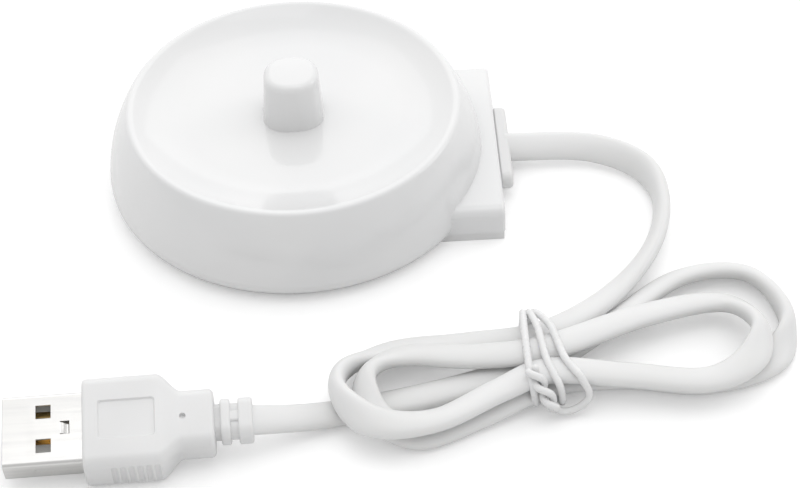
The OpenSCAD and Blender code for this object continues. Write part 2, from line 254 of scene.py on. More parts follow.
class Canvas:
    """A node tree with short ways to add nodes and join them."""

    def __init__(self, tree: bpy.types.NodeTree) -> None:
        """Keeps the tree and places its first node at the left."""
        self.tree = tree
        self.column = 0

    def add(self, kind: str, values: dict | None = None, **settings: object) -> bpy.types.Node:
        """Adds a node.

        Args:
            kind: the node's type name.
            values: numbers or linked sockets, by input name.
            **settings: the node's own properties.

        Returns:
            The new node.
        """
        node = self.tree.nodes.new(kind)
        node.location = (220 * self.column, -40 * (self.column % 5))
        self.column += 1
        for key, value in settings.items():
            setattr(node, key, value)
        self.fill(node, values or {})
        return node

    def fill(self, node: bpy.types.Node, values: dict) -> None:
        """Links or sets several inputs of a node, by name or number."""
        for key, value in values.items():
            if isinstance(value, bpy.types.NodeSocket):
                self.tree.links.new(value, node.inputs[key])
            else:
                node.inputs[key].default_value = value

    def noise(self, vector: bpy.types.NodeSocket, scale: object, detail: float = 2.0) -> bpy.types.NodeSocket:
        """Adds a soft noise pattern and gives its value."""
        node = self.add("ShaderNodeTexNoise", {"Vector": vector, "Scale": scale, "Detail": detail})
        return node.outputs["Fac"]

    def spread(self, value: bpy.types.NodeSocket, low: float, high: float,
               to_low: object = 0.0, to_high: object = 1.0) -> bpy.types.NodeSocket:
        """Maps the range low to high smoothly onto the range to_low to to_high."""
        node = self.add("ShaderNodeMapRange", {"Value": value, "From Min": low, "From Max": high,
                                               "To Min": to_low, "To Max": to_high},
                        interpolation_type="SMOOTHSTEP")
        return node.outputs["Result"]

    def blend(self, factor: object, first: object, second: object) -> bpy.types.NodeSocket:
        """Mixes two colours."""
        first, second = ((*value, 1.0) if isinstance(value, tuple) else value for value in (first, second))
        return self.add("ShaderNodeMix", {0: factor, 6: first, 7: second}, data_type="RGBA").outputs[2]

    def maths(self, operation: str, first: object, second: object = 0.0) -> bpy.types.NodeSocket:
        """Adds one sum of two values."""
        return self.add("ShaderNodeMath", {0: first, 1: second}, operation=operation).outputs[0]


class Effect(Enum):
    """The surface effects that several finishes share."""

    GRAIN = "moulded_grain"
    SCUFFS = "hairline_scuffs"
    DRAWN = "drawn_metal"


def new_group(name: str, inputs: Sequence[tuple[str, str, object]],
              outputs: Sequence[tuple[str, str]]) -> tuple[Canvas, bpy.types.Node, bpy.types.Node]:
    """Starts a shader node group.

    Args:
        name: the group's name.
        inputs: name, socket type and first value of each input.
        outputs: name and socket type of each output.

    Returns:
        The canvas of the group, its input node and its output node.
    """
    tree = bpy.data.node_groups.new(name, "ShaderNodeTree")
    for label, kind, value in inputs:
        socket = tree.interface.new_socket(label, in_out="INPUT", socket_type=kind)
        if value is not None:
            socket.default_value = value
    for label, kind in outputs:
        tree.interface.new_socket(label, in_out="OUTPUT", socket_type=kind)
    canvas = Canvas(tree)
    return canvas, canvas.add("NodeGroupInput"), canvas.add("NodeGroupOutput")


def grain_group() -> bpy.types.NodeTree:
    """Fine moulded texture: slow tone drift, uneven gloss and a small height.

    Returns:
        The node group, with Tone, Roughness and Height outputs.
    """
    canvas, given, out = new_group(
        Effect.GRAIN.value,
        [("Vector", "NodeSocketVector", None), ("Scale", "NodeSocketFloat", 400.0),
         ("Gloss", "NodeSocketFloat", 0.2), ("Uneven", "NodeSocketFloat", 0.05)],
        [("Tone", "NodeSocketFloat"), ("Roughness", "NodeSocketFloat"), ("Height", "NodeSocketFloat")])
    vector, scale = given.outputs["Vector"], given.outputs["Scale"]
    slow = canvas.noise(vector, canvas.maths("MULTIPLY", scale, 0.12), 1.0)
    middle = canvas.noise(vector, scale, 3.0)
    fine = canvas.noise(vector, canvas.maths("MULTIPLY", scale, 9.0), 2.0)
    tone = canvas.spread(slow, 0.3, 0.7)
    rough = canvas.maths("ADD", given.outputs["Gloss"],
                         canvas.maths("MULTIPLY", given.outputs["Uneven"], canvas.spread(middle, 0.35, 0.7)))
    height = canvas.maths("ADD", canvas.maths("MULTIPLY", fine, 0.6), canvas.maths("MULTIPLY", middle, 0.4))
    canvas.fill(out, {"Tone": tone, "Roughness": rough, "Height": height})
    return canvas.tree


def scuff_group() -> bpy.types.NodeTree:
    """Sparse hairline scuffs from wiping and handling.

    Returns:
        The node group, with a Mask output.
    """
    canvas, given, out = new_group(
        Effect.SCUFFS.value,
        [("Vector", "NodeSocketVector", None), ("Scale", "NodeSocketFloat", 60.0),
         ("Amount", "NodeSocketFloat", 0.3)],
        [("Mask", "NodeSocketFloat")])
    vector, scale = given.outputs["Vector"], given.outputs["Scale"]
    bent = canvas.add("ShaderNodeTexNoise",
                      {"Vector": vector, "Scale": scale, "Detail": 1.0, "Distortion": 1.8})
    ridge = canvas.maths("ABSOLUTE", canvas.maths("SUBTRACT", bent.outputs["Fac"], 0.5))
    line = canvas.spread(ridge, 0.0, 0.006, 1.0, 0.0)
    where = canvas.spread(canvas.noise(vector, canvas.maths("MULTIPLY", scale, 0.4)), 0.5, 0.66)
    mask = canvas.maths("MULTIPLY", canvas.maths("MULTIPLY", line, where), given.outputs["Amount"])
    canvas.fill(out, {"Mask": mask})
    return canvas.tree


def drawn_group() -> bpy.types.NodeTree:
    """Long streaks left by rolling or drawing metal along x.

    Returns:
        The node group, with Streak, Roughness and Height outputs.
    """
    canvas, given, out = new_group(
        Effect.DRAWN.value,
        [("Vector", "NodeSocketVector", None), ("Scale", "NodeSocketFloat", 900.0),
         ("Gloss", "NodeSocketFloat", 0.2), ("Uneven", "NodeSocketFloat", 0.1)],
        [("Streak", "NodeSocketFloat"), ("Roughness", "NodeSocketFloat"), ("Height", "NodeSocketFloat")])
    stretch = canvas.add("ShaderNodeVectorMath", {0: given.outputs["Vector"], 1: (0.04, 1.0, 1.0)},
                         operation="MULTIPLY")
    streak = canvas.noise(stretch.outputs["Vector"], given.outputs["Scale"], 4.0)
    cloud = canvas.noise(given.outputs["Vector"], canvas.maths("MULTIPLY", given.outputs["Scale"], 0.25))
    lines, patches = canvas.spread(streak, 0.3, 0.75), canvas.spread(cloud, 0.2, 0.8, 0.5, 1.0)
    both = canvas.maths("MULTIPLY", lines, patches)
    uneven = canvas.maths("MULTIPLY", given.outputs["Uneven"], both)
    rough = canvas.maths("ADD", given.outputs["Gloss"], uneven)
    canvas.fill(out, {"Streak": both, "Roughness": rough, "Height": streak})
    return canvas.tree


def effect(which: Effect) -> bpy.types.NodeTree:
    """Gives a shared effect's node group, made on first use."""
    found = bpy.data.node_groups.get(which.value)
    makers = {Effect.GRAIN: grain_group, Effect.SCUFFS: scuff_group, Effect.DRAWN: drawn_group}
    return found or makers[which]()


class Pattern(Enum):
    """What a finish's pattern follows."""

    OBJECT = "Object"
    UV = "UV"


def start_material(name: str, pattern: Pattern = Pattern.OBJECT
                   ) -> tuple[bpy.types.Material, Canvas, bpy.types.Node, bpy.types.NodeSocket]:
    """Starts a material with one Principled shader.

    Args:
        name: the material's name.
        pattern: the coordinates that the pattern reads.

    Returns:
        The material, its canvas, its shader and the pattern's vector.
    """
    material = bpy.data.materials.new(name)
    material.use_nodes = True
    canvas = Canvas(material.node_tree)
    shader = material.node_tree.nodes["Principled BSDF"]
    vector = canvas.add("ShaderNodeTexCoord").outputs[pattern.value]
    return material, canvas, shader, vector


def put_group(canvas: Canvas, which: Effect, values: dict) -> bpy.types.Node:
    """Places a shared effect in a material with its own values."""
    return canvas.add("ShaderNodeGroup", values, node_tree=effect(which))


@dataclass(frozen=True)
class PlasticFinish:
    """Moulded or extruded plastic, from gloss housing to soft cable jacket."""

    name: str
    colour: Colour
    shade: Colour
    gloss: float = 0.3
    uneven: float = 0.08
    grain_scale: float = 500.0
    grain_depth: float = 0.02
    coat: float = 0.0
    scuffs: float = 0.25
    soft: float = 0.0
    pattern: Pattern = Pattern.OBJECT

    def material(self) -> bpy.types.Material:
        """Builds the material.

        Returns:
            The finished material.
        """
        made, canvas, shader, vector = start_material(self.name, self.pattern)
        grain = put_group(canvas, Effect.GRAIN, {"Vector": vector, "Scale": self.grain_scale,
                                                 "Gloss": self.gloss, "Uneven": self.uneven})
        marks = put_group(canvas, Effect.SCUFFS, {"Vector": vector, "Scale": self.grain_scale * 0.2,
                                                  "Amount": self.scuffs})
        colour = canvas.blend(grain.outputs["Tone"], self.colour, self.shade)
        rough = canvas.maths("ADD", grain.outputs["Roughness"],
                             canvas.maths("MULTIPLY", marks.outputs["Mask"], 0.35))
        bump = canvas.add("ShaderNodeBump", {"Strength": 0.35, "Distance": self.grain_depth * MM,
                                             "Height": grain.outputs["Height"]})
        canvas.fill(shader, {"Base Color": colour, "Roughness": rough, "Normal": bump.outputs["Normal"],
                             "IOR": 1.5, "Coat Weight": self.coat, "Coat Roughness": 0.06,
                             "Subsurface Weight": self.soft, "Subsurface Radius": (1.0, 0.9, 0.8),
                             "Subsurface Scale": 0.6 * MM})
        return made


@dataclass(frozen=True)
class MetalFinish:
    """Sheet, wire or plated metal with drawn streaks."""

    name: str
    colour: Colour
    shade: Colour
    gloss: float = 0.2
    uneven: float = 0.12
    streak_scale: float = 1200.0
    streak_depth: float = 0.004
    coat: float = 0.0

    def material(self) -> bpy.types.Material:
        """Builds the material.

        Returns:
            The finished material.
        """
        made, canvas, shader, vector = start_material(self.name)
        drawn = put_group(canvas, Effect.DRAWN, {"Vector": vector, "Scale": self.streak_scale,
                                                 "Gloss": self.gloss, "Uneven": self.uneven})
        marks = put_group(canvas, Effect.SCUFFS, {"Vector": vector, "Scale": 220.0, "Amount": 0.5})
        colour = canvas.blend(drawn.outputs["Streak"], self.colour, self.shade)
        rough = canvas.maths("ADD", drawn.outputs["Roughness"],
                             canvas.maths("MULTIPLY", marks.outputs["Mask"], 0.25))
        bump = canvas.add("ShaderNodeBump", {"Strength": 0.3, "Distance": self.streak_depth * MM,
                                             "Height": drawn.outputs["Height"]})
        canvas.fill(shader, {"Base Color": colour, "Roughness": rough, "Normal": bump.outputs["Normal"],
                             "Metallic": 1.0, "Coat Weight": self.coat})
        return made


@dataclass(frozen=True)
class LaminateFinish:
    """Glass fibre board under green solder mask, with tinned copper pads on a grid."""

    name: str
    mask: Colour = (0.012, 0.13, 0.055)
    weave: Colour = (0.03, 0.2, 0.09)
    tin: Colour = (0.62, 0.6, 0.55)

    def material(self) -> bpy.types.Material:
        """Builds the material.

        Returns:
            The finished material.
        """
        made, canvas, shader, vector = start_material(self.name)
        grain = put_group(canvas, Effect.GRAIN, {"Vector": vector, "Scale": 900.0, "Gloss": 0.28,
                                                 "Uneven": 0.12})
        bricks = canvas.add("ShaderNodeTexBrick", {"Vector": vector, "Scale": 320.0, "Mortar Size": 0.012,
                                                   "Bias": 0.0})
        threads = canvas.spread(bricks.outputs["Fac"], 0.0, 1.0)
        cells = canvas.add("ShaderNodeTexVoronoi", {"Vector": vector, "Scale": 260.0, "Randomness": 0.35})
        pads = canvas.spread(cells.outputs["Distance"], 0.1, 0.13, 1.0, 0.0)
        green = canvas.blend(canvas.maths("MAXIMUM", threads, grain.outputs["Tone"]), self.mask, self.weave)
        colour = canvas.blend(pads, green, self.tin)
        bump = canvas.add("ShaderNodeBump", {"Strength": 0.4, "Distance": 0.02 * MM,
                                             "Height": canvas.maths("ADD", pads, threads)})
        canvas.fill(shader, {"Base Color": colour, "Metallic": pads, "Roughness": grain.outputs["Roughness"],
                             "Normal": bump.outputs["Normal"]})
        return made


GLOSS_SHELL = PlasticFinish("gloss_white_housing", (0.75, 0.75, 0.75), (0.725, 0.727, 0.73), 0.16, 0.05,
                            420.0, 0.006, coat=0.6, scuffs=0.2)
SATIN_COVER = PlasticFinish("satin_white_cover", (0.74, 0.74, 0.74), (0.70, 0.70, 0.70), 0.42, 0.1,
                            900.0, 0.05)
CORD_JACKET = PlasticFinish("soft_white_jacket", (0.75, 0.75, 0.75), (0.715, 0.715, 0.71), 0.36, 0.12,
                            300.0, 0.03, scuffs=0.3, soft=0.12, pattern=Pattern.UV)
GROMMET_VINYL = PlasticFinish("soft_white_grommet", (0.74, 0.74, 0.74), (0.70, 0.70, 0.70), 0.34, 0.1,
                              700.0, 0.03, soft=0.1)
TIE_COATING = PlasticFinish("white_tie_coating", (0.77, 0.77, 0.77), (0.72, 0.72, 0.72), 0.26, 0.1,
                            800.0, 0.03, soft=0.1)
PLUG_VINYL = PlasticFinish("satin_white_plug", (0.74, 0.74, 0.74), (0.705, 0.705, 0.705), 0.3, 0.12,
                           650.0, 0.03, scuffs=0.35, soft=0.08)
SEAL_RUBBER = PlasticFinish("grey_seal_rubber", (0.05, 0.05, 0.052), (0.07, 0.07, 0.072), 0.6, 0.1,
                            900.0, 0.06)
BOBBIN = PlasticFinish("black_bobbin", (0.02, 0.02, 0.02), (0.03, 0.03, 0.03), 0.4, 0.12, 800.0, 0.05)
EPOXY = PlasticFinish("black_epoxy", (0.014, 0.014, 0.015), (0.03, 0.03, 0.032), 0.5, 0.15, 1500.0, 0.08)
CAPACITOR_RED = PlasticFinish("red_dipped_film", (0.42, 0.035, 0.02), (0.3, 0.02, 0.012), 0.16, 0.1,
                              500.0, 0.08, coat=0.6)
SLEEVE = PlasticFinish("blue_sleeve", (0.02, 0.035, 0.11), (0.03, 0.05, 0.14), 0.28, 0.1, 600.0, 0.03)
LEAD_RED = PlasticFinish("red_lead", (0.48, 0.018, 0.012), (0.4, 0.012, 0.01), 0.4, 0.1, 900.0, 0.03)
LEAD_BLACK = PlasticFinish("black_lead", (0.012, 0.012, 0.012), (0.022, 0.022, 0.022), 0.4, 0.1, 900.0, 0.03)
INSULATOR = PlasticFinish("white_insulator", (0.74, 0.74, 0.72), (0.68, 0.68, 0.66), 0.42, 0.12, 1200.0, 0.03)
INNER_MOULD = PlasticFinish("natural_inner_mould", (0.60, 0.59, 0.56), (0.54, 0.53, 0.5), 0.4, 0.1,
                            900.0, 0.04, soft=0.2)
FERRITE = PlasticFinish("sintered_ferrite", (0.035, 0.035, 0.038), (0.07, 0.07, 0.075), 0.45, 0.25,
                        1800.0, 0.12)
TIN_STEEL = MetalFinish("nickel_sheet", (0.74, 0.735, 0.72), (0.66, 0.655, 0.65), 0.2, 0.08,
                        streak_depth=0.002)
GOLD = MetalFinish("gold_flash", (0.83, 0.58, 0.24), (0.72, 0.48, 0.18), 0.16, 0.1)
COPPER = MetalFinish("enamelled_copper", (0.72, 0.30, 0.13), (0.55, 0.2, 0.07), 0.22, 0.12, 2200.0, coat=0.5)
TINNED = MetalFinish("tinned_copper", (0.66, 0.65, 0.62), (0.52, 0.51, 0.5), 0.3, 0.2, 1500.0, 0.01)
BOARD = LaminateFinish("green_board")


class FinishBook:
    """Hands out each finish's material, built once."""

    def __init__(self) -> None:
        """Starts with no material built."""
        self.made: dict[str, bpy.types.Material] = {}

    def get(self, finish: PlasticFinish | MetalFinish | LaminateFinish) -> bpy.types.Material:
        """Gives the finish's material."""
        if finish.name not in self.made:
            self.made[finish.name] = finish.material()
        return self.made[finish.name]

    def dress(self, obj: bpy.types.Object,
              finish: PlasticFinish | MetalFinish | LaminateFinish) -> bpy.types.Object:
        """Gives a whole object one finish, in the slots that it has."""
        material = self.get(finish)
        if obj.material_slots:
            for slot in obj.material_slots:
                slot.material = material
        else:
            obj.data.materials.append(material)
        return obj


FINISHES = FinishBook()


def place(obj: bpy.types.Object, slot: str, *nodes: str) -> bpy.types.Object:
    """Makes a piece move with the base and hides the nodes it stands for."""
    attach(obj, BODY)
    if nodes:
        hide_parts(*nodes)
    LOG.info("%s: %d faces", obj.name, len(obj.data.polygons))
    return obj


# ---------------------------------------------------------------- cord


def blend_point(a: Vector, b: Vector, c: Vector, d: Vector, t: float) -> Vector:
    """Point at share t of the smooth curve from b to c, with neighbours a and d."""
    square, cube = 2 * a - 5 * b + 4 * c - d, 3 * b - 3 * c + d - a
    return 0.5 * (2 * b + (c - a) * t + square * t * t + cube * t ** 3)


def smooth_line(points: Sequence[Sequence[float]], steps: int) -> list[Vector]:
    """Smooth curve through points of any dimension.

    Args:
        points: the points to pass through.
        steps: curve points for each one given.

    Returns:
        The curve's points, the given last one at the end.
    """
    held = [Vector(p) for p in points]
    line = []
    for i in range(len(held) - 1):
        a, d = held[max(i - 1, 0)], held[min(i + 2, len(held) - 1)]
        line.extend(blend_point(a, held[i], held[i + 1], d, s / steps) for s in range(steps))
    line.append(held[-1])
    return line


def heading(line: Sequence[Vector], i: int) -> Vector:
    """Direction of a line at one of its points."""
    return (line[min(i + 1, len(line) - 1)].xyz - line[max(i - 1, 0)].xyz).normalized()


@dataclass
class FlatCord:
    """The flat two-core lead that is wound into a hank between the base and the plug."""

    width: float = 5.0
    thickness: float = 2.7
    sides: int = 32
    steps: int = 14
    crown: float = 2.2
    sunk: float = 0.8
    route: tuple[tuple[float, float, float, float], ...] = (
        (36.5, 0, 3.4, 30), (50, -0.4, 2.8, 35), (58.5, -6, 2.7, 60), (60.8, -15, 2.7, 80),
        (57.6, -26.5, 2.7, 60), (49, -37.6, 2.7, 25), (38, -44.8, 2.8, 5), (26, -45.2, 1.5, 0),
        (14, -46, 1.8, 20), (6.4, -51.4, 3.9, 75), (5.5, -58.4, 5.6, 80), (10.6, -64.8, 6, 25),
        (20, -64, 4.8, -15), (30, -58.6, 4.8, -12), (38, -55.8, 5.6, 0), (50, -56.4, 4.4, -5),
        (62, -58.4, 4.4, -5), (69.2, -55.4, 5.2, 15), (71.9, -48.4, 5.4, 65), (67, -40.6, 3.3, 25),
        (54, -43.6, 4.3, 10), (38, -50.8, 5.6, 0), (27, -50.6, 4.4, 5), (15.8, -49.5, 4.3, 20),
        (9.8, -53.8, 4.9, 60), (10.4, -60.6, 3.8, 10), (17.2, -64.2, 1.6, 0), (27, -60.4, 1.5, 0),
        (38, -55.8, 2.7, 0), (50, -54, 1.6, 0), (62, -56, 1.6, 0), (72.6, -53, 1.5, 0),
        (77, -44.6, 2.7, 85), (72.6, -33.4, 2.3, 45), (61, -33.4, 2.1, 35), (47.5, -43.9, 1.9, 25),
        (37, -51.1, 2.6, 0), (22, -55, 1.5, 0), (4, -58.8, 1.8, 0), (-7.9, -62.6, 5.6, -16))

    def line(self) -> list[Vector]:
        """The centre line, each point with its twist in degrees as a fourth number."""
        line = smooth_line(self.route, self.steps)
        for at, back in ((0, 1), (-1, -2)):
            away = (line[at].xyz - line[back].xyz).normalized() * self.sunk
            line[at] = Vector((*(line[at].xyz + away), line[at].w))
        return line

    def section(self) -> list[Point2]:
        """Outline of the jacket: flat faces with a slight crown and round edges."""
        outline = []
        for k in range(self.sides):
            turn = 2 * math.pi * (k + 0.5) / self.sides
            c, s = math.cos(turn), math.sin(turn)
            outline.append((self.width / 2 * math.copysign(abs(c) ** (2 / self.crown), c),
                            self.thickness / 2 * math.copysign(abs(s) ** (2 / self.crown), s)))
        return outline

    def build(self) -> bpy.types.Object:
        """Sweeps the jacket along the centre line and unrolls it for its pattern.

        Returns:
            The cord.
        """
        line, outline = self.line(), self.section()
        rings = []
        for i, point in enumerate(line):
            ahead = heading(line, i)
            side = Vector((0, 0, 1)).cross(ahead).normalized()
            up = ahead.cross(side)
            turn = math.radians(point[3])
            wide = side * math.cos(turn) + up * math.sin(turn)
            thin = up * math.cos(turn) - side * math.sin(turn)
            rings.append([point.xyz + wide * a + thin * b for a, b in outline])
        obj = solid("lead_jacket", loft(rings))
        self.unroll(obj, len(rings))
        smooth(obj, 50)
        return FINISHES.dress(obj, CORD_JACKET)

    def unroll(self, obj: bpy.types.Object, rings: int) -> None:
        """Lays the jacket flat in a UV map: across it in u and along it in v, in metres."""
        layer = obj.data.uv_layers.new(name="jacket")
        reach = sum((b.xyz - a.xyz).length for a, b in zip(self.line(), self.line()[1:])) * MM
        girth = 2 * (self.width + self.thickness) * MM
        for face in obj.data.polygons:
            corners = [(obj.data.loops[k].vertex_index, k) for k in face.loop_indices]
            columns = [v % self.sides for v, _ in corners]
            wraps = max(columns) - min(columns) > self.sides / 2
            for (vertex, loop), column in zip(corners, columns):
                across = column + self.sides if wraps and column < self.sides / 2 else column
                layer.data[loop].uv = (across / self.sides * girth, vertex // self.sides / rings * reach)

    def declare(self, obj: bpy.types.Object) -> None:
        """Makes the cord move with the base and hides the node it stands for."""
        line = [p.xyz * MM for p in self.line()]
        place(obj, "cord_vinyl", "cord")


def wire_rings(line: Sequence[Vector], diameter: float, sides: int) -> list[list[Vector]]:
    """Rings of a round wire that follows a line, turned as little as possible from one to the next."""
    side = Vector((0.3, 0.1, 0.95))
    turns = [2 * math.pi * k / sides for k in range(sides)]
    rings = []
    for i, point in enumerate(line):
        ahead = heading(line, i)
        side = (side - ahead * side.dot(ahead)).normalized()
        up = ahead.cross(side)
        rings.append([point.xyz + diameter / 2 * (side * math.cos(t) + up * math.sin(t)) for t in turns])
    return rings


def round_wire(line: Sequence[Vector], diameter: float, sides: int = 16) -> Mesh:
    """A round wire along a line, with rounded ends."""
    rings = wire_rings(line, diameter, sides)
    caps = []
    for index, end in ((0, -1), (-1, 1)):
        centre = line[index].xyz
        out = heading(line, index % len(line)) * end * diameter
        caps.append([[centre + out * reach + (p - centre) * share for p in rings[index]]
                     for reach, share in ((0.25, 0.87), (0.43, 0.5))])
    return loft([caps[0][1], caps[0][0], *rings, *caps[1]])


@dataclass
class TwistTie:
    """Coated wire wound three times round the hank, its ends twisted together."""

    bundle: tuple[float, float, float] = (35, -51.1, 4)
    half_y: float = 8.4
    half_z: float = 3.3
    turns: int = 3
    near_step: float = 4.2
    far_step: float = 0.7
    diameter: float = 1.2
    tail_start: tuple[float, float, float] = (35.1, -57.6, 7.9)
    tail_end: tuple[float, float, float] = (38.2, -61.6, 3.4)
    curl: tuple[tuple[float, float, float], ...] = (
        (43, -60.0, 2.4), (41, -60.4, 1.4), (39.2, -60.5, 1.6), (38.1, -60.2, 2.8))
    tail_turns: float = 1.25

    def turn_point(self, angle: float) -> Vector:
        """Point on the winding at an angle in degrees; the near side is at 180."""
        near = (1 - math.cos(math.radians(angle))) / 2
        turn = angle / 360
        c, s = math.cos(math.radians(angle)), math.sin(math.radians(angle))
        shift = near * self.near_step * (turn - 0.4) + (1 - near) * self.far_step * turn
        return Vector((self.bundle[0] + shift,
                       self.bundle[1] + self.half_y * math.copysign(abs(c) ** 0.6, c),
                       self.bundle[2] + self.half_z * math.copysign(abs(s) ** 0.6, s)))

    def tail_point(self, share: float, phase: float) -> Vector:
        """Point on one of the two twisted ends."""
        start, end = Vector(self.tail_start), Vector(self.tail_end)
        ahead = (end - start).normalized()
        side = ahead.cross(Vector((0, 0, 1))).normalized()
        up = side.cross(ahead)
        turn = math.radians(360 * self.tail_turns * share + phase)
        return start + share * (end - start) + (self.diameter / 2 + 0.1) * (
            side * math.cos(turn) + up * math.sin(turn))

    def build(self) -> bpy.types.Object:
        """Makes the winding and its two twisted ends.

        Returns:
            The tie.
        """
        last = 360 * self.turns - 180
        held = [self.turn_point(a) for a in range(-80, last - 20, 20)]
        winding = smooth_line([*held, self.turn_point(last), *self.curl], 5)
        ends = [[self.tail_point(k / 40, phase) for k in range(41)] for phase in (0, 180)]
        obj = solid("twist_tie_wire", joined(round_wire(line, self.diameter) for line in (winding, *ends)))
        smooth(obj, 60)
        FINISHES.dress(obj, TIE_COATING)
        return place(obj, "tie_coating", "twist_tie")


# ---------------------------------------------------------------- base


@dataclass
class ChargingBase:
    """The round base: gloss shell with dish, coil post and tail, and the grommet in its end."""

    body_r: float = 32.0
    body_h: float = 16.0
    side_arc_r: float = 26.0
    flare_h: float = 2.2
    wall: float = 1.8
    foot_r: float = 3.5
    lip_r: float = 27.1
    dish_depth: float = 2.2
    dish_flat_r: float = 18.0
    post_w: float = 10.4
    post_top_w: float = 9.2
    post_top_z: float = 22.6
    post_corner_r: float = 3.9
    post_round_r: float = 1.3
    post_bore_r: float = 3.5
    tail_start_x: float = 18.0
    tail_x: float = 34.3
    tail_w: float = 39.0
    tail_h: float = 6.4
    tail_round_r: float = 2.0
    tail_edge_r: float = 0.7
    cover_t: float = 1.5
    gap: float = 0.15
    grommet_l: float = 19.4
    grommet_h: float = 3.4
    grommet_out: float = 2.2
    outlet_z: float = 3.4
    segments: int = 256

    def side_radius(self, height: float, inset: float = 0.0) -> float:
        """Radius of the arched side at a height."""
        arc = self.side_arc_r - inset
        return self.body_r - self.side_arc_r + math.sqrt(arc * arc - (height - self.flare_h) ** 2)

    def dish_height(self, radius: float) -> float:
        """Height of the dish at a radius."""
        slope = self.lip_r - self.dish_flat_r
        arc = (slope * slope + self.dish_depth ** 2) / (2 * self.dish_depth)
        reach = max(radius - self.dish_flat_r, 0.0)
        return self.body_h - self.dish_depth + arc - math.sqrt(arc * arc - reach * reach)

    def foot_radius(self, height: float) -> float:
        """Radius of the round foot, where the side turns in under the base."""
        centre = self.side_radius(self.foot_r) - self.foot_r
        return centre + math.sqrt(self.foot_r ** 2 - (self.foot_r - height) ** 2)

    def outer_profile(self) -> list[Point2]:
        """Half section of the body's outside, from the middle of its underside to the middle of the dish."""
        shoulder = self.body_h - 0.5
        inner_lip = self.lip_r - 0.45
        rim_r = self.side_radius(self.body_h)
        seam = self.cover_t + self.gap
        foot = [seam + (self.foot_r - seam) * k / 10 for k in range(10)]
        side = [self.foot_r + (shoulder - self.foot_r) * k / 48 for k in range(49)]
        flat = [self.dish_flat_r * k / 20 for k in range(19, -1, -1)]
        slope = [self.dish_flat_r + (inner_lip - self.dish_flat_r) * k / 24 for k in range(23, -1, -1)]
        top = ((rim_r + self.lip_r) / 2, self.body_h)
        return [(0, seam), (self.foot_radius(seam) - 0.12, seam),
                (self.foot_radius(seam + 0.08), seam + 0.08),
                *[(self.foot_radius(z), z) for z in foot[1:]], *[(self.side_radius(z), z) for z in side],
                *bezier((self.side_radius(shoulder), shoulder), (rim_r, self.body_h), top)[1:],
                *bezier(top, (self.lip_r, self.body_h), (inner_lip, self.dish_height(inner_lip)))[1:],
                *[(r, self.dish_height(r)) for r in slope],
                *[(r, self.dish_height(r)) for r in flat]]

    def inner_profile(self) -> list[Point2]:
        """Half section of the hollow inside the body and the post."""
        ceiling = self.body_h - self.dish_depth - self.wall
        side = [ceiling * k / 24 for k in range(25)]
        boss_r, boss_z = self.post_bore_r + 1.2, ceiling - 1.2
        return [(0, -1), (self.side_radius(0, self.wall), -1),
                *[(self.side_radius(z, self.wall), z) for z in side],
                (boss_r, ceiling), (boss_r, boss_z), (self.post_bore_r, boss_z),
                (self.post_bore_r, self.post_top_z - 1.2), (0, self.post_top_z - 1.2)]

    def post_shape(self) -> Mesh:
        """The tapered square post with its rounded corners and top."""
        foot_z = self.body_h - self.dish_depth - 1
        drop = self.post_top_z - self.post_round_r
        rings = []
        for k in range(25):
            share = k / 24
            size = self.post_w + (self.post_top_w - self.post_w) * share
            height = foot_z + (drop - foot_z) * share
            outline = rounded_rect(size, size, self.post_corner_r, 12)
            rings.append([Vector((x, y, height)) for x, y in outline])
        for inset, rise in quarter_turn(8)[1:]:
            size = self.post_top_w - 2 * inset * self.post_round_r
            corner = self.post_corner_r - inset * self.post_round_r
            rings.append([Vector((x, y, drop + rise * self.post_round_r))
                          for x, y in rounded_rect(size, size, corner, 12)])
        top = rings[-1]
        for share in (0.8, 0.55, 0.3, 0.1):
            lift = 0.12 * (1 - share * share)
            rings.append([Vector((p.x * share, p.y * share, self.post_top_z + lift)) for p in top])
        return loft(rings)

    def tail_outline(self, inset: float, bottom: float) -> list[Point2]:
        """Outline of the tail seen from its end.

        Args:
            inset: how far the outline stands inside the full one.
            bottom: height of its lower edge.

        Returns:
            Points as (y, z), the same number for any inset.
        """
        half, top = self.tail_w / 2 - inset, self.tail_h - inset
        radius = max(self.tail_round_r - inset, 0.4)
        corner = [(half - radius + radius * math.cos(math.pi / 2 * k / 10),
                   top - radius + radius * math.sin(math.pi / 2 * k / 10)) for k in range(11)]
        other = [(-y, z) for y, z in reversed(corner)]
        return [(half, bottom), *corner, *other, (-half, bottom)]

    def tail_shape(self) -> Mesh:
        """The tail block, its end face with a soft edge."""
        bottom = self.cover_t + self.gap
        stations = [(self.tail_start_x + (self.tail_x - self.tail_edge_r - self.tail_start_x) * k / 10, 0.0)
                    for k in range(11)]
        stations += [(self.tail_x - self.tail_edge_r + rise * self.tail_edge_r, inset * self.tail_edge_r)
                     for inset, rise in quarter_turn(6)[1:]]
        return loft([[Vector((x, y, z)) for y, z in self.tail_outline(inset, bottom)]
                     for x, inset in stations])

